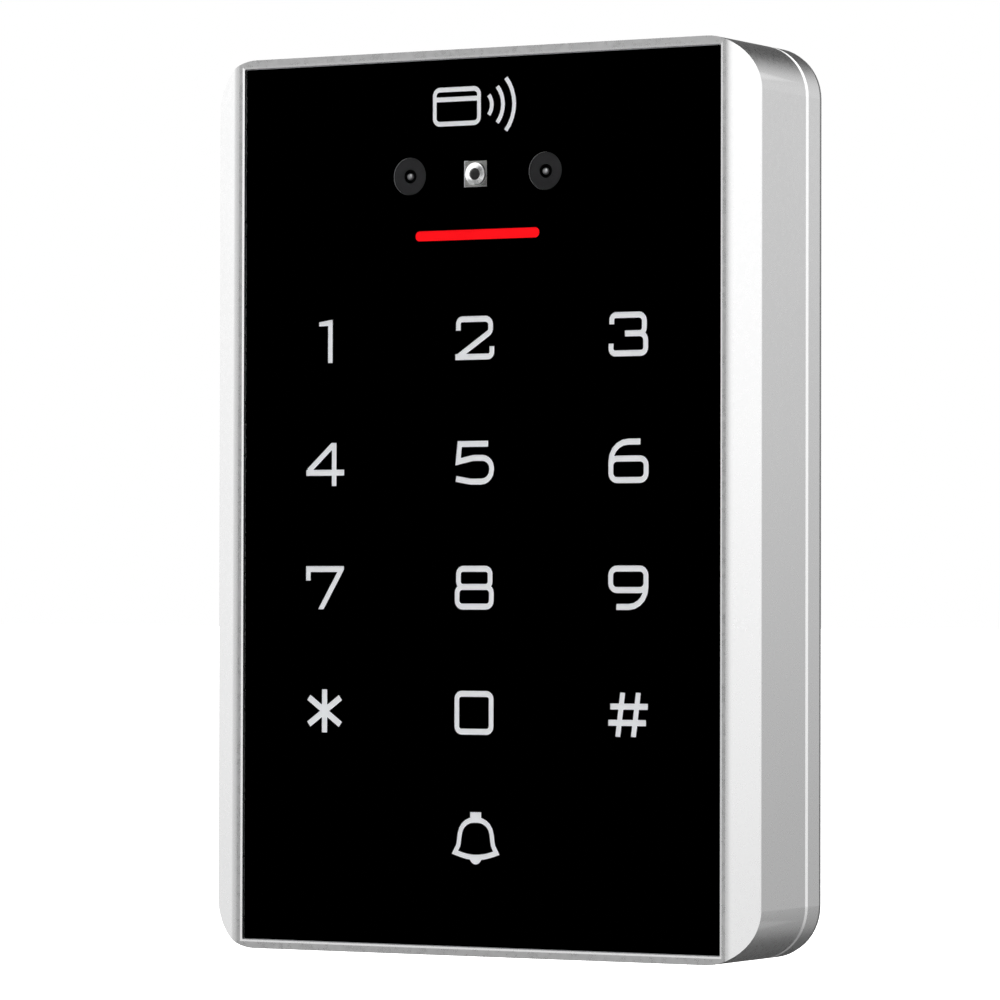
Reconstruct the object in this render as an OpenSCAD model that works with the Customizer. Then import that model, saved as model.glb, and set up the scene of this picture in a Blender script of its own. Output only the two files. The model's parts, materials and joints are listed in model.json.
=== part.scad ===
// Keypad access reader: a wall base and a tilting reader with a capacitive glass keypad.
// Origin: middle of the rear wall face. X to the right seen from the front, +Y into the wall, Z up.

/* [Body] */
// Overall width
body_w = 82.4; // [82:0.1:88]
// Overall height
body_h = 120; // [119:0.5:130]
// Overall depth, wall face to front rim
body_d = 19.7; // [19.5:0.1:22]
// Corner radius seen from the front
corner_r = 7; // [6.8:0.1:8]
// Side wall thickness
wall = 2; // [1.8:0.1:2.2]
// Roundness of curved faces
facets = 64; // [32:8:96]

/* [Front] */
// Width of the visible glass
panel_w = 72.4; // [70:0.1:72.6]
// Height of the visible glass
panel_h = 117.7; // [117:0.1:117.8]
// Depth of the glass below the rim
panel_recess = 0.4; // [0.3:0.05:0.5]
// Width of each long bevel
bevel_w = 3.7; // [3:0.1:3.9]
// Depth of each long bevel
bevel_d = 1.86; // [1.5:0.02:2]
// Radius that blends the rim into the bevel
bevel_blend_r = 2.2; // [1:0.2:3]
// Radius between each long bevel and the side
edge_r = 0.35; // [0.2:0.05:0.5]
// Width of the sloping lip around the glass
lip_w = 0.3; // [0.2:0.05:0.4]
// Depth of that slope
lip_d = 0.09; // [0.06:0.01:0.15]

/* [Wall base] */
// Depth of the wall base
base_d = 4.65; // [4.4:0.05:5]
// Shadow gap between housing and base
seam_gap = 0.3; // [0.3:0.05:0.4]
// Chamfer on the base's front edge
seam_chamfer = 0.5; // [0.4:0.05:0.6]
// Width of the taper at the base's back edge
taper_w = 0.16; // [0.1:0.02:0.3]
// Length of that taper
taper_l = 0.8; // [0.6:0.1:1.2]
// Thickness of the base's floor
base_floor = 1.6; // [1.4:0.1:1.8]
// Wall screw spacing across
screw_span_x = 60; // [56:1:62]
// Wall screw spacing up and down
screw_span_z = 90; // [80:1:94]
// Radius of each wall screw hole
wall_hole_r = 2.25; // [2:0.05:2.5]
// Radius of the cable opening in its grommet
cable_hole_r = 11; // [9:0.5:12]

/* [Keypad] */
// Distance between key columns
key_pitch_x = 23.05; // [22:0.05:23.5]
// Distance between key rows
key_pitch_z = 16.53; // [16:0.05:16.8]
// Height of the top key row
key_top_z = 21.7; // [21:0.1:22]
// Height of the bell key
bell_z = -44.5; // [-45:0.1:-44]
// Height of the lamp and sensor row
sensor_z = 43.45; // [43:0.05:44]
// Distance between the two sensors
sensor_span = 20.6; // [20:0.1:22]
// Height of the red status bar
bar_z = 35.4; // [35:0.1:36]
// Sideways offset of the print and the lamps
print_x = -0.35; // [-0.5:0.05:0.5]
// Further sideways offset of the key rows
rows_x = -0.3; // [-0.4:0.05:0.4]
// Height of the card symbol
card_z = 52.5; // [51.5:0.1:53]
// Enlargement of the card symbol
card_scale = 1.3; // [1:0.05:1.4]
// Width of a key legend
glyph_w = 6; // [6:0.1:6.4]
// Height of a key legend
glyph_h = 5.8; // [5.8:0.1:6]
// Line width of the legends
stroke_w = 0.8; // [0.7:0.05:0.85]

/* [Motion] */
// Radius of the hinge bead on the base's top rim
bead_r = 0.7; // [0.6:0.02:0.7]
// Running clearance around the bead
bead_fit = 0.05; // [0.03:0.01:0.08]
// Radius of the security screw's shank
lock_r = 1.5; // [1.4:0.05:1.5]
// Radius of the tamper plunger
plunger_r = 1.5; // [1.4:0.05:1.6]

/* [Hidden] */
$fn = facets;
eps = 0.01;

// Front-to-back stack, as Y of each layer's front face
front_y = -body_d;
glass_y = front_y + panel_recess;
mask_y = glass_y + 0.5;
film_y = mask_y + 0.15;
frame_y = film_y + 1.35;
ledge_y = frame_y + 0.3;
ledge_back_y = ledge_y + 1.5;
touch_y = frame_y + 1.8;
touch_back_y = touch_y + 1;
main_y = touch_back_y + 2.1;
main_back_y = main_y + 1.6;
shelf_y = -base_d - seam_gap - 3.35;
gasket_t = 0.8;
cover_y = shelf_y + gasket_t;
cover_back_y = cover_y + 2;
housing_back_y = -base_d - seam_gap;
base_y = -base_d;
floor_y = -base_floor;

// Plan sizes, widths then heights
glass_size = [panel_w - 0.2, panel_h - 0.2];
window_size = [panel_w - 4, panel_h - 4.2];
cavity_size = [body_w - 2 * wall - 2.8, body_h - 2 * wall - 2.8];
shelf_size = [body_w - 2 * wall, body_h - 2 * wall];
cover_size = shelf_size - [0.4, 0.4];
board_half_w = 33;
board_half_h = 56;
main_board_low = -48.2;

// Fixings
boss_x = body_w / 2 - 5.6;
boss_z = 52;
boss_r = 2.2;
post_x = 29.5;
post_z = [50, -43.5];

// Tilt axis along the top rim, and the two hooks that keep the reader on it
pivot_y = base_y;
pivot_z = body_h / 2 - 1.2;
bead_l = 50;
hook_x = 22;
hook_w = 8;
hook_lip_y = [pivot_y + 1.4, pivot_y + 2.6];
hook_top_z = pivot_z - 0.25;

// Lock at the bottom edge
lock_y = -10.4;
lock_floor_z = -body_h / 2 + 2.4;
tab_space_z = [-body_h / 2 + 3.4, -body_h / 2 + 5.8];
tab_clear = 0.45;
tab_w = 12;
tab_space_w = tab_w + 1.6;
tab_tip_y = lock_y - 2.1;
notch_r = lock_r + 0.45;
nut_z = tab_space_z[1] + 1;
nut_flats = 5.5;
nut_corners = nut_flats / cos(30);
nut_slot_w = nut_corners + 0.2;
lock_block_y = lock_y - 3.5;
nut_h = 2.4;
lock_block_w = 18;
lock_top_z = nut_z + nut_h + 2.2;
washer_h = 0.5;
head_h = 1.55;
tiny_gap = 0.05;

// Keypad legends: left, middle and right column from the top row down, then the bell
key_count = 13;
function key_at(i) = [print_x, 0] + (i == 12
    ? [0, bell_z]
    : [rows_x + (i % 3 - 1) * key_pitch_x, key_top_z - floor(i / 3) * key_pitch_z]);
function sensor_at(s) = [print_x + (s == 0 ? lamp_x : s * sensor_span / 2), sensor_z];

ir_r = 2.5;
lamp_x = -0.25;
link_pitch = 2.54;
link_z = -37.7;
tamper_at = [0, -38];

// ---- outline helpers -------------------------------------------------------------------------

// Extrudes a front-view outline from one Y to another, front first
module slab(front, back) {
    translate([0, back, 0]) rotate([90, 0, 0]) linear_extrude(back - front) children();
}

// Rounded rectangle centred on the origin
module plate(size, r) {
    square([size.x - 2 * r, size.y], center = true);
    square([size.x, size.y - 2 * r], center = true);
    for (x = [-1, 1], z = [-1, 1]) translate([x * (size.x / 2 - r), z * (size.y / 2 - r)]) circle(r);
}

// Cylinder along Y at a front-view point
module peg(at, r, front, back) {
    translate([at.x, back, at.y]) rotate([90, 0, 0]) cylinder(r = r, h = back - front);
}

// Box between a front-view corner pair and two Y values
module block(low, high, front, back) {
    translate([low.x, front, low.y]) cube([high.x - low.x, back - front, high.y - low.y]);
}

// Sweeps a profile round the body outline. Its x runs outward from the given inset, its y back from y
module edge_sweep(y, inset) {
    straight = [body_w / 2 - corner_r, body_h / 2 - corner_r];
    for (x = [0, 1], z = [0, 1]) mirror([x, 0, 0]) mirror([0, 0, z]) translate([0, y, 0]) {
        translate([body_w / 2 - inset, 0, 0]) linear_extrude(straight.y) children();
        translate([0, 0, body_h / 2 - inset]) rotate([0, 90, 0]) mirror([1, 0, 0])
            linear_extrude(straight.x) children();
        translate([straight.x, 0, straight.y]) rotate([-90, 0, 0]) rotate([0, 0, -90])
            rotate_extrude(angle = 90) translate([corner_r - inset, 0]) children();
    }
}

// ---- line drawing for the legends ------------------------------------------------------------

function unit(v) = v / norm(v);
function side(p, q) = let (d = unit(q - p)) [-d.y, d.x];

// Points of a path of [x, y, radius] corners, each rounded by an arc of its radius
function rounded(path, closed = false) = [
    for (i = [0:len(path) - 1]) each
        let (
            n = len(path), p = [path[i].x, path[i].y], r = path[i][2],
            at_end = !closed && (i == 0 || i == n - 1)
        )
        at_end || r == undef ? [p] :
        let (
            before = path[(i + n - 1) % n], after = path[(i + 1) % n],
            a = unit([before.x, before.y] - p), b = unit([after.x, after.y] - p),
            half = acos(a * b) / 2, middle = p + unit(a + b) * r / sin(half),
            from = p + a * r / tan(half) - middle, to = p + b * r / tan(half) - middle,
            sweep = 180 - 2 * half, steps = 5
        )
        [
            for (k = [0:steps])
                middle + (from * sin(sweep * (1 - k / steps)) + to * sin(sweep * k / steps)) / sin(sweep)
        ]
];

// The path moved sideways by d, with mitred corners
function beside(path, d, closed) = [
    for (i = [0:len(path) - 1])
        let (
            n = len(path),
            b = closed || i < n - 1 ? side(path[i], path[(i + 1) % n]) : side(path[i - 1], path[i]),
            a = closed || i > 0 ? side(path[(i + n - 1) % n], path[i]) : b,
            m = a + b
        )
        path[i] + d * m * 2 / (m * m)
];
function backwards(list) = [for (i = [len(list) - 1:-1:0]) list[i]];

// A line with square ends along an open path
module line(path, w = stroke_w) {
    points = rounded(path);
    polygon(concat(beside(points, w / 2, false), backwards(beside(points, -w / 2, false))));
}

// A closed line around a counter-clockwise path
module loop(path, w = stroke_w) {
    points = rounded(path, true);
    difference() {
        polygon(beside(points, -w / 2, true));
        polygon(beside(points, w / 2, true));
    }
}

function box_path(low, high, r) = [
    [low.x, low.y, r], [high.x, low.y, r], [high.x, high.y, r], [low.x, high.y, r]
];

// ---- legends, each centred on its key --------------------------------------------------------

// Middle line of the outermost strokes
gx = (glyph_w - stroke_w) / 2;
gz = (glyph_h - stroke_w) / 2;

module one() {
    top = glyph_h / 2;
    polygon([
        [0.35, -top], [0.35 + stroke_w, -top], [0.35 + stroke_w, top], [0.75, top],
        [-1.05, top - 0.28], [-1.05, top - 0.85], [0.35, top - stroke_w]
    ]);
}
module two() {
    line([[-gx + 0.1, 1], [-gx + 0.1, gz, 0.6], [gx - 0.2, gz, 0.8], [gx - 0.2, 0.8, 0.8], [-gx, -gz]]);
    line([[-glyph_w / 2, -gz], [gx, -gz, 0.6], [gx, -1.15]]);
}
module three() {
    line([[-gx + 0.1, 1.3], [-gx + 0.1, gz, 0.6], [gx - 0.3, gz, 0.8], [gx - 0.3, 0.08, 0.7], [-0.6, 0.08]]);
    line([[-0.6, 0.08], [gx - 0.1, 0.08, 0.9], [gx - 0.1, -gz, 0.7], [-gx, -gz, 0.6], [-gx, -1.2]]);
}
module four() {
    line([[1.4, -glyph_h / 2], [1.4, glyph_h / 2]]);
    line([[1.3, glyph_h / 2 - 0.2], [-gx, -0.85]]);
    line([[-glyph_w / 2, -1.1], [glyph_w / 2, -1.1]]);
}
module five() {
    line([
        [2.1, gz], [-2.25, gz], [-2.5, 0.15], [-0.2, 0.64, 3.5], [gx, 0.62, 1.4], [gx, -gz, 1.55],
        [-0.6, -gz, 4], [-2.85, -gz + 0.4]
    ]);
}
module six() {
    loop(box_path([-gx, -gz], [gx, 0.3], 0.9));
    line([[-gx, -1], [-gx, gz, 2.55], [1.8, gz]]);
}
module seven() {
    line([[-gx, 0.95], [-gx, gz], [gx, gz], [-0.75, -glyph_h / 2 - 0.2]]);
}
module eight() {
    loop(box_path([-gx + 0.2, 0.1], [gx - 0.2, gz], 0.7));
    loop(box_path([-gx, -gz], [gx, 0.1], 0.8));
}
module nine() {
    rotate(180) six();
}
module star() {
    for (a = [90, 36, -36]) rotate(a)
        square([a == 90 ? glyph_h : glyph_w + 0.2, stroke_w + 0.1], center = true);
}
module zero() {
    loop(box_path([-gx, -gz], [gx, gz], 0.7));
}
module hash() {
    for (x = [-1.15, 1.15]) line([[x - 0.36, -glyph_h / 2], [x + 0.36, glyph_h / 2]]);
    for (s = [-1, 1]) translate([s * 0.14, s * 1.06]) square([glyph_w - 0.4, stroke_w], center = true);
}
module bell() {
    loop([
        [-3.15, -1.85], [0, -2.85, 7.5], [3.15, -1.85], [2.62, -0.9, 1.2], [2.15, 2.45, 2.1],
        [-2.15, 2.45, 2.1], [-2.62, -0.9, 1.2]
    ], 0.72);
    translate([0, 3.05]) square([1.75, 0.9], center = true);
    translate([0, -2.45]) intersection() {
        circle(0.95);
        translate([-1, -1]) square([2, 1.1]);
    }
}

// A card in front of three waves
module card_symbol() {
    translate([-2.4, 0]) loop(box_path([-2.6, -1.75], [2.6, 1.75], 0.6), 0.5);
    translate([-2.4, 0.75]) square([5, 0.5], center = true);
    for (r = [1.6, 2.9, 4.2]) line([for (a = [-40:10:40]) [0.1 + r * cos(a), r * sin(a)]], 0.5);
}

module legend(i) {
    if (i == 12) bell();
    else intersection() {
        square([glyph_w, glyph_h], center = true);
        union() {
            if (i == 0) one();
            if (i == 1) two();
            if (i == 2) three();
            if (i == 3) four();
            if (i == 4) five();
            if (i == 5) six();
            if (i == 6) seven();
            if (i == 7) eight();
            if (i == 8) nine();
            if (i == 9) star();
            if (i == 10) zero();
            if (i == 11) hash();
        }
    }
}

// ---- wall base -------------------------------------------------------------------------------

module wall_holes() {
    for (x = [-1, 1], z = [-1, 0, 1]) translate([x * screw_span_x / 2, z * screw_span_z / 2]) children();
}

module wall_base() {
    rib_z = [tab_space_z[0] + tab_clear, tab_space_z[1] - tab_clear];
    color("silver") difference() {
        union() {
            difference() {
                slab(base_y, 0) plate([body_w, body_h], corner_r);
                slab(base_y - eps, floor_y) plate(shelf_size, corner_r - wall);
                edge_sweep(base_y, seam_chamfer) polygon([
                    [0, 0], [0, -eps], [seam_chamfer + eps, -eps], [seam_chamfer + eps, seam_chamfer]
                ]);
                edge_sweep(0, taper_w) polygon([
                    [0, 0], [taper_w, -taper_l], [taper_w + eps, -taper_l], [taper_w + eps, eps], [0, eps]
                ]);
            }
            // Half-round bead that the reader tilts on
            translate([0, pivot_y, pivot_z]) rotate([0, 90, 0])
                cylinder(r = bead_r, h = bead_l, center = true);
            // Tab that the lock clamps, with its two ribs
            block([-tab_w / 2, rib_z[0]], [tab_w / 2, rib_z[1]], tab_tip_y, floor_y + eps);
            for (x = [-tab_w / 2, tab_w / 2 - 1.5])
                block([x, rib_z[0]], [x + 1.5, rib_z[1] + 3], base_y + 0.6, floor_y + eps);
            // Raised seats around the wall screws
            slab(floor_y - 0.8, floor_y + eps) wall_holes() circle(5);
        }
        slab(floor_y - 1, eps) wall_holes() circle(wall_hole_r);
        peg([0, 0], cable_hole_r + 1.5, floor_y - 1, eps);
        // Open notch for the lock's screw
        translate([0, lock_y, rib_z[0] - 1]) cylinder(r = notch_r, h = 4);
        translate([-notch_r, tab_tip_y - 1, rib_z[0] - 1]) cube([2 * notch_r, lock_y - tab_tip_y + 1, 4]);
        // Pockets in the top wall for the reader's hooks
        for (x = [-1, 1]) translate([x * hook_x, 0, 0])
            block([-hook_w / 2 - 0.6, body_h / 2 - wall - 1], [hook_w / 2 + 0.6, hook_top_z + 0.35],
                pivot_y + 1, floor_y);
    }
}

module cable_grommet() {
    color("dimgray") rotate([90, 0, 0]) rotate_extrude() polygon([
        [cable_hole_r, 0.2], [cable_hole_r + 1.5, 0.2], [cable_hole_r + 1.5, base_floor],
        [cable_hole_r + 3, base_floor], [cable_hole_r + 3, base_floor + 0.8],
        [cable_hole_r + 2.4, base_floor + 1.4], [cable_hole_r, base_floor + 1.4]
    ]);
}

// ---- housing ---------------------------------------------------------------------------------

// What the long bevel takes off the right side, in X and Y
module bevel_profile() {
    corner = [body_w / 2 - bevel_w, front_y];
    slope = atan(bevel_d / bevel_w);
    reach = bevel_blend_r * tan(slope / 2);
    tangent = corner + reach * [cos(slope), sin(slope)];
    difference() {
        polygon([
            corner - [reach, 1], corner - [reach, 0], tangent, corner + 3 * [bevel_w, bevel_d],
            [corner.x + 3 * bevel_w, front_y - 1]
        ]);
        translate(corner + [-reach, bevel_blend_r]) circle(bevel_blend_r);
    }
    // Rounding between the bevel and the side
    outer = corner + [bevel_w, bevel_d];
    cut = edge_r * tan(45 - slope / 2);
    difference() {
        polygon([
            outer - cut * [cos(slope), sin(slope)], outer + [0.1, -0.1], outer + [0.1, cut], outer + [0, cut]
        ]);
        translate(outer + [-edge_r, cut]) circle(edge_r);
    }
}

module front_housing() {
    color("silver") difference() {
        union() {
            difference() {
                slab(front_y, housing_back_y) plate([body_w, body_h], corner_r);
                for (m = [0, 1]) mirror([m, 0, 0]) linear_extrude(body_h + 2, center = true) bevel_profile();
                // Lip around the glass
                intersection() {
                    linear_extrude(body_h, center = true) polygon([
                        [-panel_w / 2 - lip_w, front_y - eps], [panel_w / 2 + lip_w, front_y - eps],
                        [panel_w / 2, front_y + lip_d], [-panel_w / 2, front_y + lip_d]
                    ]);
                    rotate([90, 0, 90]) linear_extrude(body_w, center = true) polygon([
                        [front_y - eps, -panel_h / 2 - lip_w], [front_y - eps, panel_h / 2 + lip_w],
                        [front_y + lip_d, panel_h / 2], [front_y + lip_d, -panel_h / 2]
                    ]);
                }
                slab(front_y + lip_d - 2 * eps, ledge_y) plate([panel_w, panel_h], 0.3);
                slab(ledge_y - 1, ledge_back_y + 1) plate(window_size, 1);
                slab(ledge_back_y, housing_back_y + 1) plate(cavity_size, corner_r - wall - 1.4);
                slab(shelf_y, housing_back_y + 1) plate(shelf_size, corner_r - wall);
            }
            // Bosses for the cover screws
            for (x = [-1, 1], z = [-1, 0, 1]) {
                peg([x * boss_x, z * boss_z], boss_r, ledge_back_y - eps, cover_y);
                mirror([x < 0 ? 1 : 0, 0, 0])
                    block([boss_x, z * boss_z - 1.5], [cavity_size.x / 2 + eps, z * boss_z + 1.5],
                        ledge_back_y - eps, shelf_y);
            }
            // Block that holds the lock nut, in front of the base's tab
            block([-lock_block_w / 2, -body_h / 2 + wall], [lock_block_w / 2, lock_top_z],
                lock_block_y, shelf_y);
        }
        slab(cover_y - 5, cover_y + 1) for (x = [-1, 1], z = [-1, 0, 1])
            translate([x * boss_x, z * boss_z]) circle(1.05);
        // Groove for the hinge bead
        translate([0, pivot_y, pivot_z]) rotate([0, 90, 0])
            cylinder(r = bead_r + bead_fit, h = bead_l + 1, center = true);
        // Space for the base's tab, the nut slot and the screw's hole and counterbore
        block([-tab_space_w / 2, tab_space_z[0]], [tab_space_w / 2, tab_space_z[1]],
            tab_tip_y - 0.6, shelf_y + 1);
        block([-nut_slot_w / 2, nut_z], [nut_slot_w / 2, nut_z + nut_h + 0.2],
            lock_y - nut_flats / 2 - 0.1, shelf_y + 1);
        translate([0, lock_y, -body_h / 2 - 1]) cylinder(r = 3.1, h = lock_floor_z + body_h / 2 + 1);
        translate([0, lock_y, -body_h / 2]) cylinder(r = lock_r + 0.2, h = lock_top_z - 0.8 + body_h / 2);
    }
}

// ---- panel stack -----------------------------------------------------------------------------

module front_sheet() {
    color([0.1, 0.1, 0.12, 0.5]) slab(glass_y, mask_y) plate(glass_size, 0.3);
}

module ink_mask() {
    color([0.03, 0.03, 0.03]) slab(mask_y, film_y) difference() {
        plate(glass_size, 0.3);
        for (i = [0:key_count - 1]) translate(key_at(i)) legend(i);
        for (s = [-1, 1]) translate(sensor_at(s)) circle(ir_r);
        translate(sensor_at(0)) square(3.5, center = true);
        translate([print_x, bar_z]) plate([18.9, 1.34], 0.66);
        translate([print_x, card_z]) scale(card_scale) card_symbol();
    }
}

// Openings for the two sensors, the square lamp and the red bar, through the plate and the light frame
module lamp_openings() {
    for (s = [-1, 1]) translate(sensor_at(s)) circle(ir_r + 0.15);
    translate(sensor_at(0)) square(3.8, center = true);
    translate([print_x, bar_z]) square([20.7, 2.7], center = true);
}

module diffuser_plate() {
    color("whitesmoke") slab(film_y, frame_y) difference() {
        plate(glass_size - [0.4, 0.4], 0.5);
        lamp_openings();
    }
}

module panel_tape() {
    color("darkslategray") slab(frame_y, ledge_y) difference() {
        plate(glass_size - [0.4, 0.4], 0.5);
        plate(window_size, 1);
    }
}

module status_light_bar() {
    color("red") slab(film_y, frame_y + 1) translate([print_x, bar_z]) square([20.4, 2.4], center = true);
}

module light_frame() {
    color([0.08, 0.08, 0.08]) difference() {
        union() {
            slab(frame_y, touch_y) plate(window_size - [0.6, 0.6], 1);
            for (x = [-1, 1], z = post_z) peg([x * post_x, z], 1.6, touch_y - eps, main_y);
        }
        slab(frame_y - 1, touch_y + 1) {
            for (i = [0:key_count - 1]) translate(key_at(i)) square([14, i == 12 ? 9 : 12.5], center = true);
            lamp_openings();
        }
        for (x = [-1, 1], z = post_z) peg([x * post_x, z], 0.9, main_y - 3.5, main_y + 1);
    }
}

// Infrared lamp with a flat window and a small well around its bead, standing on the main board
module ir_lamp(s) {
    top = main_y - film_y - 0.05;
    translate([sensor_at(s).x, main_y, sensor_z]) rotate([90, 0, 0]) {
        difference() {
            union() {
                cylinder(r = ir_r + 0.4, h = 1);
                cylinder(r = ir_r, h = top);
            }
            translate([0, 0, top - 0.7]) cylinder(r = 0.95, h = 1);
        }
        for (x = [-1, 1]) translate([x * 1.27, 0, -2.4]) cylinder(r = 0.25, h = 2.4 + eps, $fn = 16);
    }
}
module ir_emitter() {
    color([0.17, 0.17, 0.18]) ir_lamp(-1);
}
module ir_receiver() {
    color([0.13, 0.13, 0.14]) ir_lamp(1);
}

// Square lamp with a conical reflector cup
module status_led() {
    half = 1.7;
    top = touch_y - film_y - 0.05;
    translate([sensor_at(0).x, touch_y, sensor_z]) rotate([90, 0, 0]) {
        color("gainsboro") difference() {
            translate([-half, -half, 0]) cube([2 * half, 2 * half, top]);
            translate([0, 0, top - 0.9]) cylinder(r1 = 0.8, r2 = 1.6, h = 0.9 + eps);
        }
        color("gold") translate([-0.3, -0.3, top - 1]) cube([0.6, 0.6, 0.25]);
    }
}

// ---- boards ----------------------------------------------------------------------------------

// Where the twelve pins between the two boards stand
module link_pins() {
    for (i = [-2.5:2.5], z = [-0.5, 0.5]) translate([i * link_pitch, link_z + z * link_pitch]) children();
}

module touch_board() {
    color("darkgreen") slab(touch_y, touch_back_y) difference() {
        plate([2 * board_half_w, 2 * board_half_h], 2);
        for (s = [-1, 1]) translate(sensor_at(s)) circle(ir_r + 0.15);
        for (x = [-1, 1], z = post_z) translate([x * post_x, z]) circle(1.8);
        link_pins() circle(0.4);
    }
}

module touch_pads() {
    color("peru") slab(touch_y - 0.1, touch_y) for (i = [0:key_count - 1]) translate(key_at(i)) difference() {
        plate([11, i == 12 ? 8.4 : 11], 2);
        plate([5, 3.6], 1);
    }
}

// A small surface-mounted lamp on the front of the touch board
module chip_lamp(at) {
    color("ivory") block(at - [0.8, 0.4], at + [0.8, 0.4], touch_y - 0.6, touch_y);
}
module key_leds() {
    for (i = [0:key_count - 1]) chip_lamp(key_at(i));
}
module bar_leds() {
    for (i = [-1.5:1.5]) chip_lamp([print_x + i * 5, bar_z]);
}

// A black chip with leads on two sides or on all four, on a board at y = 0 and growing towards +Y
module chip(size, h, pitch, sides) {
    color([0.1, 0.1, 0.1]) translate([-size.x / 2, 0.1, -size.y / 2]) cube([size.x, h - 0.1, size.y]);
    for (turn = [0:90:sides == 4 ? 90 : 0]) {
        along = turn == 0 ? size.x : size.y;
        across = turn == 0 ? size.y : size.x;
        count = floor((along - 1) / pitch);
        color("silver") rotate([0, turn, 0]) for (i = [0:count])
            translate([(i - count / 2) * pitch - 0.15, 0, -across / 2 - 0.8]) cube([0.3, 0.3, across + 1.6]);
    }
}

module touch_chip() {
    translate([0, touch_back_y, 5]) chip([7, 7], 1.2, 0.8, 4);
}

module board_link() {
    color([0.1, 0.1, 0.1]) block([-3 * link_pitch, link_z - 2.5], [3 * link_pitch, link_z + 2.5],
        touch_back_y, main_y);
    color("gold") slab(touch_back_y - 0.8, main_y + 0.8) link_pins() circle(0.32, $fn = 16);
}

module antenna_coil() {
    color("chocolate") slab(main_y - 1.5, main_y) translate([0, 1]) difference() {
        plate([62, 66], 8);
        plate([56, 60], 5);
    }
}

module main_board() {
    color("darkgreen") slab(main_y, main_back_y) difference() {
        translate([-board_half_w, main_board_low]) square([2 * board_half_w, board_half_h - main_board_low]);
        for (x = [-1, 1], z = post_z) translate([x * post_x, z]) circle(1.15);
        for (s = [-1, 1], x = [-1, 1]) translate(sensor_at(s) + [x * 1.27, 0]) circle(0.45);
        link_pins() circle(0.4);
    }
}

module on_main_board(x, z) {
    translate([x, main_back_y, z]) children();
}
module processor_chip() {
    on_main_board(-14, 24) chip([10, 10], 1.5, 0.8, 4);
}
module rfid_chip() {
    on_main_board(14, 24) chip([10, 4.4], 1.6, 1.27, 2);
}
module crystal() {
    color("silver") on_main_board(-14, 36) translate([-5.5, 0, -2.2]) cube([11, 2.4, 4.4]);
}
module voltage_regulator() {
    on_main_board(20, -14) {
        color([0.1, 0.1, 0.1]) translate([-3.3, 0.2, -3]) cube([6.6, 2.2, 6]);
        color("silver") translate([-2.7, 0, -4.6]) cube([5.4, 1, 1.7]);
        color("silver") for (x = [-2.3, 0, 2.3]) translate([x - 0.4, 0, 2.9]) cube([0.8, 0.5, 2.6]);
    }
}
module filter_capacitors() {
    color("orange") for (x = [8, 26]) on_main_board(x, -26) translate([-3.6, 0, -2.1]) cube([7.2, 2.8, 4.2]);
}
module buzzer() {
    color([0.12, 0.12, 0.12]) on_main_board(-20, -18) rotate([-90, 0, 0]) difference() {
        cylinder(r = 7, h = 2.8);
        translate([0, 0, 1]) cylinder(r = 1, h = 2);
    }
}
module cable_header() {
    color("ivory") on_main_board(0, 12) difference() {
        translate([-10, 0, -2.5]) cube([20, 2.9, 5]);
        translate([-9.2, 0.8, -1.7]) cube([18.4, 2.9, 3.4]);
    }
    color("gold") on_main_board(0, 12) for (i = [-4.5:4.5])
        translate([i * 1.8 - 0.25, 0.7, -0.25]) cube([0.5, 1.8, 0.5]);
}
module tamper_switch() {
    on_main_board(tamper_at.x, tamper_at.y) {
        color([0.15, 0.15, 0.15]) translate([-3, 0, -3]) cube([6, 1.5, 6]);
        color("white") rotate([-90, 0, 0]) cylinder(r = 1.5, h = 2);
    }
}

// A pan-head screw whose head ends at y = head_y and whose shank points to the front
module pan_screw(at, head_y, head, head_t, shank, length) {
    difference() {
        union() {
            peg(at, head, head_y - head_t, head_y);
            peg(at, shank, head_y - head_t - length, head_y - head_t + eps);
        }
        for (turn = [0, 90]) translate([at.x, head_y, at.y]) rotate([0, turn, 0])
            cube([head * 1.2, head_t, head * 0.25], center = true);
    }
}
module board_screws() {
    color("silver") for (x = [-1, 1], z = post_z)
        pan_screw([x * post_x, z], main_back_y + 1.2, 1.9, 1.2, 0.88, 4.6);
}

// ---- rear cover and lock ---------------------------------------------------------------------

module rear_gasket() {
    color("dimgray") slab(shelf_y, cover_y) difference() {
        plate(cover_size, corner_r - wall - 0.2);
        difference() {
            plate(cavity_size + [0.2, 0.2], corner_r - wall - 1.3);
            translate([-lock_block_w / 2, -body_h / 2]) square([lock_block_w, lock_top_z + body_h / 2]);
        }
        translate([-tab_space_w / 2, -body_h / 2]) square([tab_space_w, tab_space_z[1] + body_h / 2]);
        translate([-nut_slot_w / 2, nut_z]) square([nut_slot_w, nut_h + 0.2]);
    }
}

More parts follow.
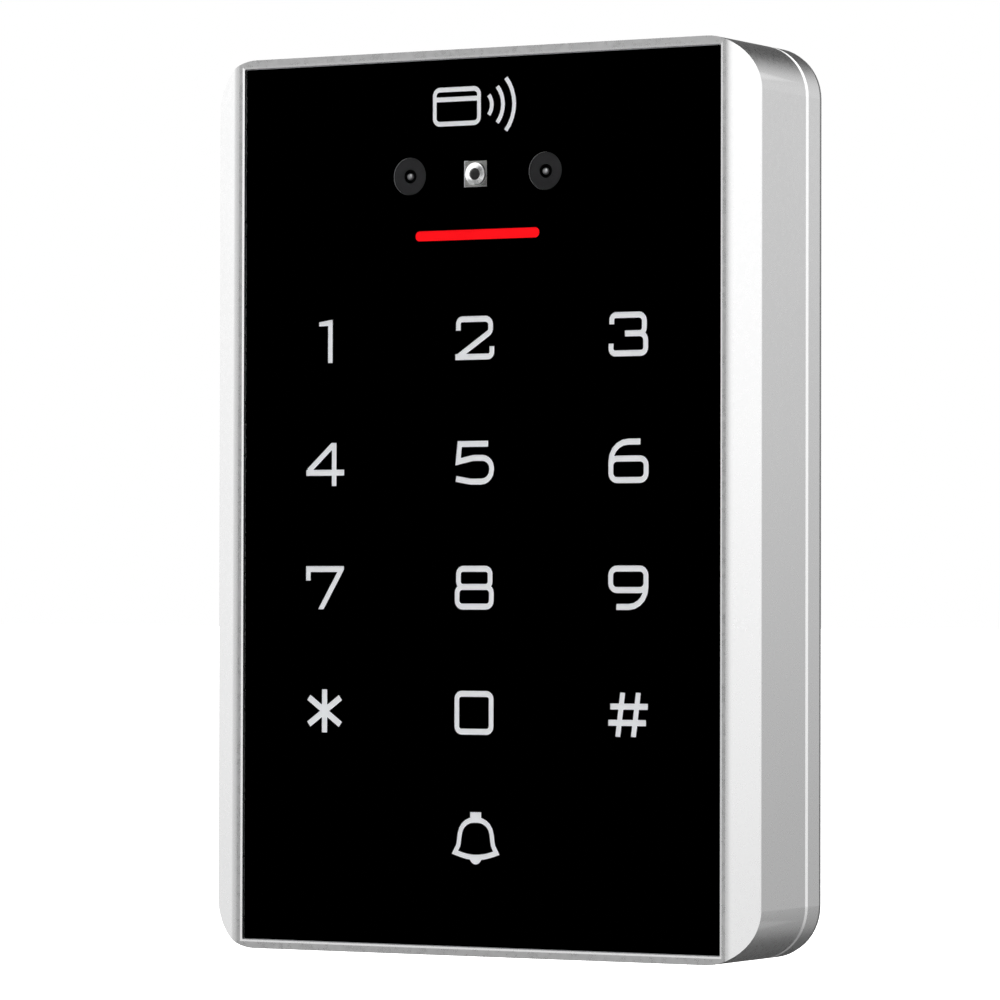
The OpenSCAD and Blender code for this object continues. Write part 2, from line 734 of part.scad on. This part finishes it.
module rear_cover() {
    color("darkgray") difference() {
        union() {
            slab(cover_y, cover_back_y) plate(cover_size, corner_r - wall - 0.2);
            // Pillars that press the main board forward
            for (x = [-1, 1]) peg([x * 24, 40], 2, main_back_y, cover_y + eps);
            // Hooks that reach behind the base's top rim
            for (x = [-1, 1]) translate([x * hook_x, 0, 0]) {
                block([-hook_w / 2, hook_top_z - 3.4], [hook_w / 2, hook_top_z - 1.5],
                    cover_back_y - eps, hook_lip_y[1]);
                block([-hook_w / 2, hook_top_z - 3.4], [hook_w / 2, hook_top_z],
                    hook_lip_y[0], hook_lip_y[1]);
            }
            // Sleeve for the tamper plunger
            peg(tamper_at, plunger_r + 1.2, cover_back_y - eps, cover_back_y + 1);
        }
        peg([0, 0], 4.5, cover_y - 1, cover_back_y + 1);
        peg(tamper_at, plunger_r + 0.1, cover_y - 1, cover_back_y + 2);
        peg(tamper_at, plunger_r + 1.1, cover_y - 1, cover_y + 1.1);
        for (x = [-1, 1], z = [-1, 0, 1]) peg([x * boss_x, z * boss_z], 1.4, cover_y - 1, cover_back_y + 1);
        // Notch that the base's tab passes through
        block([-tab_space_w / 2, -body_h / 2], [tab_space_w / 2, tab_space_z[1]],
            cover_y - 1, cover_back_y + 1);
    }
}

module cover_screws() {
    color("silver") for (x = [-1, 1], z = [-1, 0, 1])
        pan_screw([x * boss_x, z * boss_z], cover_back_y + 1.3, 2.2, 1.3, 1.03, 6.5);
}

module cable_gland() {
    inner = cover_back_y - cover_y;
    color([0.15, 0.15, 0.15]) translate([0, cover_back_y, 0]) rotate([90, 0, 0]) rotate_extrude() polygon([
        [3, -1], [5.2, -1], [6, -0.4], [6, 0], [4.5, 0], [4.5, inner], [6, inner], [6, inner + 0.8],
        [3, inner + 0.8]
    ]);
}

module lock_nut() {
    color("silver") translate([0, lock_y, nut_z + 0.1]) difference() {
        cylinder(d = nut_corners, h = nut_h, $fn = 6);
        translate([0, 0, -1]) cylinder(r = lock_r + 0.03, h = nut_h + 2);
    }
}

module screw_washer() {
    color("gray") translate([0, lock_y, lock_floor_z - tiny_gap - washer_h]) difference() {
        cylinder(r = 2.9, h = washer_h);
        translate([0, 0, -1]) cylinder(r = lock_r + 0.05, h = washer_h + 2);
    }
}

module security_screw() {
    under = lock_floor_z - 2 * tiny_gap - washer_h;
    color("silver") translate([0, lock_y, 0]) {
        difference() {
            union() {
                translate([0, 0, under - head_h]) cylinder(r = 2.7, h = head_h);
                translate([0, 0, under - eps]) cylinder(r = lock_r, h = 8);
            }
            translate([0, 0, under - head_h - 1]) difference() {
                cylinder(r = 1.4, h = 2, $fn = 6);
                cylinder(r = 0.4, h = 3);
            }
        }
    }
}

module tamper_plunger() {
    color("white") {
        peg(tamper_at, plunger_r, main_back_y + 2.05, floor_y - 0.35);
        peg(tamper_at, plunger_r + 0.8, cover_y - 0.9, cover_y - 0.4);
    }
}

wall_base();
cable_grommet();
front_housing();
front_sheet();
ink_mask();
diffuser_plate();
panel_tape();
light_frame();
status_light_bar();
ir_emitter();
ir_receiver();
status_led();
touch_board();
touch_pads();
key_leds();
bar_leds();
touch_chip();
board_link();
antenna_coil();
main_board();
processor_chip();
rfid_chip();
crystal();
voltage_regulator();
filter_capacitors();
buzzer();
cable_header();
board_screws();
rear_gasket();
rear_cover();
cover_screws();
cable_gland();
lock_nut();
screw_washer();
security_screw();
tamper_switch();
tamper_plunger();
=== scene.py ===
"""Keypad access reader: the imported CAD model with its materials, fine edges, studio light and camera."""

import json
import math

import bpy
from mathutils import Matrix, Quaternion, Vector


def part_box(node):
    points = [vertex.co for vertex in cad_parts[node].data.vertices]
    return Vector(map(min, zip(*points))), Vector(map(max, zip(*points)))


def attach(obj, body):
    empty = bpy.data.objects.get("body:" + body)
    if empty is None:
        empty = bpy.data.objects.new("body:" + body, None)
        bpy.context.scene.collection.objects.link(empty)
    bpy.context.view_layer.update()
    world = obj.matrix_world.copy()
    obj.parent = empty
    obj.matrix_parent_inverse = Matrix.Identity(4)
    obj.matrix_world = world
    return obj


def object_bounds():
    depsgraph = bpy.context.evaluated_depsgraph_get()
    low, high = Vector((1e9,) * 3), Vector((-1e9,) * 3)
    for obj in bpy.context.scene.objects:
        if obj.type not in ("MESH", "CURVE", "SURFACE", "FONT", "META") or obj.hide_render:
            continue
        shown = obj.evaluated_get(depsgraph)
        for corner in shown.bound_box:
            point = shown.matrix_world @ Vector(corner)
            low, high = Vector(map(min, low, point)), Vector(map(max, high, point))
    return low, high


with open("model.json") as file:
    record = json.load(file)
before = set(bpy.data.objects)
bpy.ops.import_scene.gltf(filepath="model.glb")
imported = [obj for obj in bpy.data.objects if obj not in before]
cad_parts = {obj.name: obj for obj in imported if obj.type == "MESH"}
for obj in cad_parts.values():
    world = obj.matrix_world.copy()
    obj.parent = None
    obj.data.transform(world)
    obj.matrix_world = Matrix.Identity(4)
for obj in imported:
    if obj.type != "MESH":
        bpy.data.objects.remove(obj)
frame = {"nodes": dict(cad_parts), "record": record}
CAD_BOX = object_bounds()
NODES = frame["nodes"]
MM = 0.001    # lengths are in metres

# ---- camera ---------------------------------------------------------------------------------

CAMERA_AZIMUTH = 29.3    # degrees to the right of straight on
CAMERA_PITCH = 1.114     # degrees, looking up from a little below the middle
CAMERA_ROLL = 0.125      # degrees
CAMERA_DISTANCE = 0.7392
CAMERA_TARGET = Vector((-0.00562, -0.00315, 0.00056))
LENS_MM = 196.8
SENSOR_MM = 36.0


def direction(azimuth, elevation):
    """Unit vector away from the object: degrees to the right of straight on, and degrees up."""
    a, e = math.radians(azimuth), math.radians(elevation)
    return Vector((math.sin(a) * math.cos(e), -math.cos(a) * math.cos(e), math.sin(e)))


def add_camera():
    back = direction(CAMERA_AZIMUTH, -CAMERA_PITCH)
    data = bpy.data.cameras.new("camera")
    data.lens = LENS_MM
    data.sensor_width = SENSOR_MM
    data.clip_start = 0.01
    camera = bpy.data.objects.new("camera", data)
    bpy.context.scene.collection.objects.link(camera)
    turn = back.to_track_quat("Z", "Y")
    turn.rotate(Quaternion(back, math.radians(CAMERA_ROLL)))
    camera.rotation_mode = "QUATERNION"
    camera.rotation_quaternion = turn
    camera.location = CAMERA_TARGET + back * CAMERA_DISTANCE
    bpy.context.scene.camera = camera


# ---- node helpers ---------------------------------------------------------------------------

BEVEL_SAMPLES = 8
EDGE_COSINE = (0.8, 0.995)    # between the rounded and the true normal: on an edge, and on a flat face


class Nodes:
    """A shader node tree under construction, with short calls for the nodes used here."""

    def __init__(self, tree):
        self.tree = tree

    def put(self, value, socket):
        """Links an output to the socket, or sets the socket to a plain value."""
        if isinstance(value, bpy.types.NodeSocket):
            self.tree.links.new(value, socket)
        else:
            socket.default_value = value

    def new(self, kind, **inputs):
        node = self.tree.nodes.new("ShaderNode" + kind)
        for socket, value in inputs.items():
            self.put(value, node.inputs[socket.replace("_", " ")])
        return node

    def math(self, operation, a, b=None):
        node = self.new("Math")
        node.operation = operation
        self.put(a, node.inputs[0])
        if b is not None:
            self.put(b, node.inputs[1])
        return node.outputs[0]

    def dot(self, a, b):
        node = self.new("VectorMath")
        node.operation = "DOT_PRODUCT"
        self.put(a, node.inputs[0])
        self.put(b, node.inputs[1])
        return node.outputs["Value"]

    def map_range(self, value, from_low, from_high, low, high, kind="LINEAR"):
        node = self.new("MapRange")
        node.interpolation_type = kind
        for socket, number in zip(node.inputs, (value, from_low, from_high, low, high)):
            self.put(number, socket)
        return node.outputs[0]


class Material(Nodes):
    """A material made of nodes. Keyword arguments are the shader's own sockets."""

    def __init__(self, name, **sockets):
        self.material = bpy.data.materials.new(name)
        self.material.use_nodes = True
        super().__init__(self.material.node_tree)
        self.shader = self.tree.nodes["Principled BSDF"]
        self.coords = self.new("TexCoord").outputs["Object"]
        for socket, value in sockets.items():
            self.shader.inputs[socket.replace("_", " ")].default_value = value

    def noise(self, scale, detail, roughness=0.5):
        return self.new(
            "TexNoise", Vector=self.coords, Scale=scale, Detail=detail, Roughness=roughness
        ).outputs["Fac"]

    def ramp(self, value, low, high, from_low=0.3, from_high=0.7):
        """The value spread from one range to another: numbers for a number, colours for a colour."""
        if not isinstance(low, tuple):
            return self.map_range(value, from_low, from_high, low, high)
        node = self.new("ValToRGB")
        for stop, place, colour in zip(node.color_ramp.elements, (from_low, from_high), (low, high)):
            stop.position = place
            stop.color = (*colour, 1)
        self.put(value, node.inputs[0])
        return node.outputs[0]

    def mix(self, factor, a, b):
        """The colour a where the factor is 0 and b where it is 1."""
        node = self.new("Mix")
        node.data_type = "RGBA"
        for socket, value in ((node.inputs[0], factor), (node.inputs[6], a), (node.inputs[7], b)):
            self.put((*value, 1) if isinstance(value, tuple) else value, socket)
        return node.outputs[2]

    def blend(self, factor, a, b):
        """The number a where the factor is 0 and b where it is 1."""
        node = self.new("Mix")
        for socket, value in ((node.inputs[0], factor), (node.inputs[2], a), (node.inputs[3], b)):
            self.put(value, socket)
        return node.outputs[0]

    def colour(self, output):
        self.put(output, self.shader.inputs["Base Color"])

    def roughness(self, output):
        self.put(output, self.shader.inputs["Roughness"])

    def bump(self, height, distance, strength, normal=None):
        node = self.new("Bump", Height=height, Distance=distance, Strength=strength)
        if normal:
            self.put(normal, node.inputs["Normal"])
        self.put(node.outputs[0], self.shader.inputs["Normal"])

    def rounded(self, radius):
        """The surface normal with every sharp edge rounded off."""
        node = self.new("Bevel", Radius=radius)
        node.samples = BEVEL_SAMPLES
        return node.outputs[0]

    def edges(self, radius):
        """1 on sharp edges and 0 on flat faces, from how far a rounded normal turns away."""
        plain = self.new("NewGeometry").outputs["Normal"]
        return self.map_range(self.dot(self.rounded(radius), plain), *EDGE_COSINE, 1.0, 0.0)

    def facing(self, axis):
        """1 on faces square to the axis and 0 on faces along it."""
        return self.math("ABSOLUTE", self.dot(self.new("TexCoord").outputs["Normal"], axis))


def satin_metal():
    """Fine-blasted cast metal: soft clouds, a tight grain, and edges a little brighter, partly rubbed wear and
    partly a painted highlight.
    """
    m = Material("satin_cast_metal", Metallic=1.0)
    edge = m.edges(0.15 * MM)
    skin = m.ramp(m.noise(30, 3), (0.755, 0.755, 0.757), (0.775, 0.775, 0.777))
    # the brighter, glossier edge colour is partly wear and partly a painted highlight along the edges
    m.colour(m.mix(edge, skin, (0.87, 0.87, 0.872)))
    m.roughness(m.blend(edge, m.ramp(m.noise(1400, 3), 0.26, 0.31), 0.2))
    m.bump(m.noise(5200, 2, roughness=0.6), 0.0012 * MM, 0.3)
    return m.material


def clear_front():
    """Clear glass with its ground sides painted black."""
    m = Material("clear_front", Transmission_Weight=1.0, IOR=1.5, Specular_IOR_Level=0.5)
    side = m.map_range(m.facing((0, 1, 0)), 0.4, 0.6, 1.0, 0.0)
    m.colour(m.mix(side, m.ramp(m.noise(30, 2), (0.98, 0.985, 0.985), (1, 1, 1)), (0.001, 0.001, 0.001)))
    m.roughness(m.ramp(m.noise(90, 4), 0.0, 0.02, 0.45, 0.75))
    m.bump(m.noise(14, 2), 0.01 * MM, 0.05)
    return m.material


def black_ink():
    m = Material("black_ink", Specular_IOR_Level=0.04)
    m.colour(m.ramp(m.noise(120, 3), (0.0004, 0.0004, 0.0005), (0.001, 0.001, 0.0011)))
    m.roughness(m.ramp(m.noise(500, 2), 0.5, 0.6))
    m.bump(m.noise(2600, 2), 0.002 * MM, 0.3)
    return m.material


def opal_plate_painted_glow():
    # its even emission is a painted glow, standing in for the light that reaches the plate behind the glass
    m = Material("opal_plate_painted_glow", Specular_IOR_Level=0.2, Emission_Color=(0.95, 0.97, 1.0, 1), Emission_Strength=0.36)
    m.colour(m.ramp(m.noise(900, 2), (0.76, 0.77, 0.785), (0.83, 0.84, 0.855)))
    m.roughness(m.ramp(m.noise(700, 2), 0.5, 0.65))
    m.bump(m.noise(3000, 2), 0.01 * MM, 0.3)
    return m.material


def red_bar():
    # the red emission is a painted glow on the bar
    m = Material(
        "red_bar", Specular_IOR_Level=0.05, Emission_Color=(1.0, 0.006, 0.011, 1), Emission_Strength=0.8)
    m.colour(m.ramp(m.noise(400, 2), (0.5, 0.002, 0.004), (0.6, 0.004, 0.006)))
    m.roughness(m.ramp(m.noise(800, 2), 0.3, 0.45))
    m.bump(m.noise(2500, 2), 0.005 * MM, 0.3)
    return m.material


def lamp_epoxy():
    m = Material("lamp_epoxy", Specular_IOR_Level=0.15)
    m.colour(m.ramp(m.noise(500, 2), (0.036, 0.036, 0.038), (0.045, 0.045, 0.048)))
    m.roughness(m.ramp(m.noise(900, 2), 0.3, 0.42))
    m.bump(m.noise(2200, 2), 0.004 * MM, 0.3)
    return m.material


def plain_plastic(name, dark, light, rough=(0.4, 0.55), grain=0.02):
    """Moulded plastic with a fine spark-eroded grain and edges worn smooth."""
    m = Material(name)
    edge = m.edges(0.25 * MM)
    worn = tuple(min(1.0, channel * 1.5 + 0.01) for channel in light)
    m.colour(m.mix(edge, m.ramp(m.noise(300, 3), dark, light), worn))
    m.roughness(m.blend(edge, m.ramp(m.noise(600, 3), *rough), rough[0] * 0.75))
    m.bump(m.noise(2400, 3), grain * MM, 0.4, m.rounded(0.1 * MM))
    return m.material


def circuit_board():
    m = Material("circuit_board", Coat_Weight=0.4, Coat_Roughness=0.15)
    flat = m.new("Mapping", Vector=m.coords, Rotation=(math.pi / 2, 0, 0)).outputs[0]
    tracks = m.new(
        "TexBrick", Vector=flat, Scale=330, Mortar_Size=0.012,
        Color1=(0.006, 0.075, 0.026, 1), Color2=(0.01, 0.1, 0.035, 1), Mortar=(0.03, 0.2, 0.07, 1),
    )
    m.colour(m.mix(m.ramp(m.noise(140, 3), 0.0, 1.0), tracks.outputs["Color"], (0.009, 0.09, 0.03)))
    m.roughness(m.ramp(m.noise(500, 2), 0.3, 0.45))
    m.bump(tracks.outputs["Fac"], 0.02 * MM, 0.4)
    return m.material


def plain_metal(name, dark, light, rough=(0.25, 0.4)):
    m = Material(name, Metallic=1.0)
    edge = m.edges(0.2 * MM)
    worn = tuple(min(0.95, channel * 1.15) for channel in light)
    m.colour(m.mix(edge, m.ramp(m.noise(300, 3), dark, light), worn))
    m.roughness(m.blend(edge, m.ramp(m.noise(700, 3), *rough), 0.18))
    m.bump(m.noise(1800, 2), 0.01 * MM, 0.4, m.rounded(0.1 * MM))
    return m.material


def rubber():
    m = Material("rubber", Sheen_Weight=0.15)
    m.colour(m.ramp(m.noise(400, 3), (0.018, 0.018, 0.019), (0.03, 0.03, 0.031)))
    m.roughness(m.ramp(m.noise(600, 3), 0.65, 0.8))
    m.bump(m.noise(1600, 3), 0.03 * MM, 0.5, m.rounded(0.2 * MM))
    return m.material


def silver_bead_painted_glow():
    # the faint white emission is a painted glow on the bead
    m = Material("silver_bead_painted_glow", Metallic=1.0, Emission_Color=(1, 1, 1, 1), Emission_Strength=0.03)
    m.colour(m.ramp(m.noise(1500, 2), (0.3, 0.3, 0.31), (0.45, 0.45, 0.46)))
    m.roughness(m.ramp(m.noise(1200, 2), 0.3, 0.45))
    m.bump(m.noise(3000, 2), 0.002 * MM, 0.3)
    return m.material


def ring_painted_highlight(centre):
    """Polished reflector ring with a painted highlight: it glows fully at its upper left, with faint painted
    glints elsewhere, and is dull on its inner wall.
    """
    m = Material("ring_painted_highlight", Metallic=0.5, Emission_Color=(1, 1, 1, 1))
    place = m.new("Mapping", Vector=m.coords, Location=tuple(-c for c in centre))
    # the emission set below is painted light: a highlight at the upper left and faint random glints elsewhere
    side = m.ramp(m.dot(place.outputs[0], direction(-60, 40)), 0.0, 1.0, 0.8 * MM, 1.3 * MM)
    painted_glints = m.ramp(m.noise(900, 3), 0.0, 0.3)
    m.colour(m.ramp(m.noise(900, 3), (0.5, 0.5, 0.5), (0.8, 0.8, 0.8), 0.4, 0.6))
    m.put(m.blend(side, painted_glints, 1.0), m.shader.inputs["Emission Strength"])
    m.roughness(m.ramp(m.noise(1200, 2), 0.2, 0.4))
    m.bump(m.noise(2600, 2), 0.01 * MM, 0.5)
    return m.material


# ---- materials on the CAD nodes -------------------------------------------------------------

MATERIALS = {
    "housing_metal": satin_metal(),
    "clear_front": clear_front(),
    "black_ink": black_ink(),
    "white_film": opal_plate_painted_glow(),
    "red_bar": red_bar(),
    "lamp_epoxy": lamp_epoxy(),
    "lamp_body": plain_plastic("lamp_body", (0.2, 0.2, 0.2), (0.62, 0.62, 0.6), (0.2, 0.35)),
    "board": circuit_board(),
    "copper": plain_metal("copper", (0.66, 0.3, 0.15), (0.78, 0.4, 0.24)),
    "chip_plastic": plain_plastic("chip_plastic", (0.02, 0.02, 0.021), (0.035, 0.035, 0.036)),
    "tin": plain_metal("tin", (0.62, 0.62, 0.63), (0.74, 0.74, 0.75)),
    "capacitor_case": plain_plastic("capacitor_case", (0.62, 0.36, 0.06), (0.7, 0.43, 0.09)),
    "connector_plastic": plain_plastic("connector_plastic", (0.72, 0.69, 0.58), (0.8, 0.77, 0.66)),
    "steel": plain_metal("steel", (0.55, 0.55, 0.56), (0.66, 0.66, 0.67)),
    "rubber": rubber(),
    "tape": plain_plastic("tape", (0.01, 0.01, 0.01), (0.018, 0.018, 0.018), (0.6, 0.75)),
    "cover_plastic": plain_plastic("cover_plastic", (0.03, 0.03, 0.032), (0.045, 0.045, 0.047), (0.45, 0.6), 0.06),
}


def dress_nodes():
    for row in frame["record"]["subparts"]:
        mesh = NODES[row["node"]].data
        mesh.materials.clear()
        mesh.materials.append(MATERIALS[row["material_slot"]])


# ---- studio ---------------------------------------------------------------------------------

FLOOR_REACH = 30.0    # from its middle to each side
FLOOR_DROP = 0.09    # below the object


def add_floor():
    mesh = bpy.data.meshes.new("floor")
    low = CAD_BOX[0][2] - FLOOR_DROP
    corners = ((-1, -1), (1, -1), (1, 1), (-1, 1))
    mesh.from_pydata([(x * FLOOR_REACH, y * FLOOR_REACH, low) for x, y in corners], [], [(0, 1, 2, 3)])
    floor = bpy.data.objects.new("floor", mesh)
    bpy.context.scene.collection.objects.link(floor)
    m = Material("floor_paint", Specular_IOR_Level=0.0, Emission_Color=(1, 1, 1, 1), Emission_Strength=1.0)
    m.colour(m.ramp(m.noise(3, 2), (0.93, 0.93, 0.93), (0.94, 0.94, 0.94)))
    m.roughness(m.ramp(m.noise(5, 2), 0.9, 1.0))
    # clear from underneath, so the bottom of the object can be seen
    one_sided = m.new("MixShader", Fac=m.new("NewGeometry").outputs["Backfacing"])
    m.put(m.shader.outputs[0], one_sided.inputs[1])
    m.put(m.new("BsdfTransparent").outputs[0], one_sided.inputs[2])
    m.put(one_sided.outputs[0], m.tree.nodes["Material Output"].inputs["Surface"])
    mesh.materials.append(m.material)
    # the floor is lit like the backdrop, but its light isn't thrown up at the object
    floor.visible_glossy = floor.visible_diffuse = floor.visible_transmission = False


# Brightness of the studio round the object: azimuth, radiance above and below the horizon
SURROUND = (
    (-180, 0.05, 0.03), (-158, 0.08, 0.05), (-138, 0.62, 0.33), (-115, 1.20, 0.75), (-85, 1.46, 0.92),
    (-62, 0.95, 0.62), (-42, 0.82, 0.62), (-29, 0.85, 0.68), (-14, 0.95, 0.66), (8, 1.48, 0.80),
    (24, 1.64, 0.72), (40, 1.60, 0.72), (70, 1.54, 0.75), (110, 1.06, 0.55), (145, 0.91, 0.45),
    (158, 0.85, 0.42), (170, 0.32, 0.16), (175, 0.13, 0.07), (180, 0.05, 0.03),
)
HORIZON = 0.12    # height over which the lower level turns into the upper one, on a unit sphere
GROUND = 0.34    # light coming up from well below the object
GROUND_Z = (-0.75, -0.35)    # heights between which it fades out
FLAG = direction(-CAMERA_AZIMUTH, CAMERA_PITCH)    # a black card that the panel mirrors
FLAG_RADIUS = (9.5, 6.5)    # degrees, to the outside and the inside of its soft edge


def add_world():
    """A soft surround that changes with direction, and is white where the camera looks."""
    world = bpy.data.worlds.new("studio")
    world.use_nodes = True
    bpy.context.scene.world = world
    n = Nodes(world.node_tree)
    ray = n.new("TexCoord").outputs["Generated"]
    x, y, z = n.new("SeparateXYZ", Vector=ray).outputs
    turn = n.math("ARCTAN2", x, n.math("MULTIPLY", y, -1.0))
    ramp = n.new("ValToRGB", Fac=n.math("ADD", n.math("DIVIDE", turn, 2 * math.pi), 0.5))
    ramp.color_ramp.interpolation = "EASE"
    stops = ramp.color_ramp.elements
    for azimuth, *_ in SURROUND[1:-1]:
        stops.new(azimuth / 360 + 0.5)
    for stop, (azimuth, above, below) in zip(stops, SURROUND):
        stop.position = azimuth / 360 + 0.5
        stop.color = (above, below, 0, 1)
    above, below, _ = n.new("SeparateXYZ", Vector=ramp.outputs[0]).outputs
    level = n.map_range(z, -HORIZON, HORIZON, below, above, "SMOOTHSTEP")
    ground = n.map_range(z, *GROUND_Z, 1.0, 0.0, "SMOOTHSTEP")
    level = n.math("ADD", n.math("MULTIPLY", level, n.math("SUBTRACT", 1.0, ground)),
                   n.math("MULTIPLY", ground, GROUND))
    edges = [math.cos(math.radians(radius)) for radius in FLAG_RADIUS]
    level = n.math("MULTIPLY", level, n.map_range(n.dot(ray, FLAG), *edges, 1.0, 0.0, "SMOOTHSTEP"))
    seen = n.new("LightPath").outputs["Is Camera Ray"]
    background = world.node_tree.nodes["Background"]
    background.inputs["Color"].default_value = (1, 1, 1, 1)
    n.put(n.math("MAXIMUM", level, seen), background.inputs["Strength"])


def add_light(name, azimuth, elevation, distance, width, height, power):
    """A soft box facing the object, azimuth measured like the camera's."""
    away = direction(azimuth, elevation)
    data = bpy.data.lights.new(name, "AREA")
    data.shape = "RECTANGLE"
    data.size = width
    data.size_y = height
    data.energy = power
    light = bpy.data.objects.new(name, data)
    bpy.context.scene.collection.objects.link(light)
    light.location = away * distance
    light.rotation_mode = "QUATERNION"
    light.rotation_quaternion = away.to_track_quat("Z", "Y")


def add_studio():
    add_floor()
    add_world()
    add_light("high_front_box", azimuth=10, elevation=50, distance=1.5, width=0.9, height=0.5, power=5)
    bpy.context.scene.view_settings.view_transform = "Standard"


# ---- fine details ---------------------------------------------------------------------------

# Depths are measured back from the lamp's front, shifts to the left of its middle
# The black liner in each sensor well is painted shade for the dark hollow round the bead
SHADE_LINER_RADIUS = (0.86 * MM, 0.93 * MM)    # inner, outer
SHADE_LINER_DEPTH = (0.01 * MM, 0.5 * MM, 0.68 * MM)    # rim, floor, back
BEAD_RADIUS = 0.45 * MM
BEAD_SHIFT = 0.2 * MM
RING_RADIUS = (0.8 * MM, 1.5 * MM)    # inner, outer
RING_DEPTH = 0.07 * MM    # to the middle of its rolled section
RING_HALF_HEIGHT = 0.11 * MM
RING_SHIFT = 0.25 * MM
DIE_RADIUS = 0.76 * MM


def add_piece(name, points, faces, body, slot, material, smooth=True):
    mesh = bpy.data.meshes.new(name)
    mesh.from_pydata(points, [], faces)
    mesh.validate()
    piece = bpy.data.objects.new(name, mesh)
    bpy.context.scene.collection.objects.link(piece)
    for face in mesh.polygons:
        face.use_smooth = smooth
    mesh.materials.append(material)
    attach(piece, body)


def lathe(profile, centre, steps=48):
    """Points and faces of a closed round body about a line along Y: profile is radius, Y."""
    points, faces, rings = [], [], []
    for radius, y in profile:
        if radius == 0:
            rings.append([len(points)] * steps)
            points.append((centre[0], y, centre[1]))
            continue
        rings.append([len(points) + k for k in range(steps)])
        for k in range(steps):
            a = 2 * math.pi * k / steps
            points.append((centre[0] + radius * math.cos(a), y, centre[1] + radius * math.sin(a)))
    for low, high in zip(rings, rings[1:]):
        for k in range(steps):
            face = [low[k], low[(k + 1) % steps], high[(k + 1) % steps], high[k]]
            faces.append([v for i, v in enumerate(face) if v != face[i - 1]])
    return points, faces


def middle(node):
    low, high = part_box(node)
    return [(a + b) / 2 for a, b in zip(low, high)]


def dome(radius, height, front, back, steps=6):
    """Profile of a domed pin whose tip is at the front."""
    curve = [math.pi / 2 * k / steps for k in range(1, steps + 1)]
    rise = [(radius * math.sin(a), front + height * (1 - math.cos(a))) for a in curve]
    return [(0, front)] + rise + [(radius, back), (0, back)]


def add_sensor_details(black, silver):
    """In the well of each sensor lamp, a black liner that is painted shade for the dark hollow, and a small silver
    bead with a faint painted glow.
    """
    inner, outer = SHADE_LINER_RADIUS
    for node in ("ir_emitter", "ir_receiver"):
        x, _, z = middle(node)
        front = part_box(node)[0][1]
        rim, floor, back = (front + depth for depth in SHADE_LINER_DEPTH)
        # the liner is black all over: painted shade in the well
        shade_liner = [(outer, rim), (outer, back), (0, back), (0, floor), (inner, floor), (inner, rim), (outer, rim)]
        add_piece(node + "_shade_liner", *lathe(shade_liner, (x, z), 40), "reader", "black_ink", black, smooth=False)
        bead = dome(BEAD_RADIUS, height=0.3 * MM, front=front + 0.04 * MM, back=front + 0.49 * MM)
        add_piece(node + "_bead", *lathe(bead, (x - BEAD_SHIFT, z), 32), "reader", "tin", silver)


def add_status_details(painted_highlight_material, dark):
    """The square lamp's rolled ring, bright from a painted highlight, and the dark die in its middle."""
    x, _, z = middle("status_led")
    x -= RING_SHIFT
    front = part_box("status_led")[0][1]
    inner, outer = RING_RADIUS
    centre, half, steps = (inner + outer) / 2, (outer - inner) / 2, 12
    roll = []
    for k in range(steps + 1):
        a = 2 * math.pi * k / steps
        roll.append((centre + half * math.cos(a), front + RING_DEPTH - RING_HALF_HEIGHT * math.sin(a)))
    add_piece("status_led_ring", *lathe(roll, (x, z)), "reader", "tin", painted_highlight_material)
    die = dome(DIE_RADIUS, height=0.1 * MM, front=front + 0.12 * MM, back=front + 0.3 * MM)
    add_piece("status_led_die", *lathe(die, (x, z), 32), "reader", "chip_plastic", dark)


add_camera()
dress_nodes()
add_sensor_details(MATERIALS["black_ink"], silver_bead_painted_glow())
add_status_details(ring_painted_highlight(middle("status_led")), MATERIALS["chip_plastic"])
add_studio()
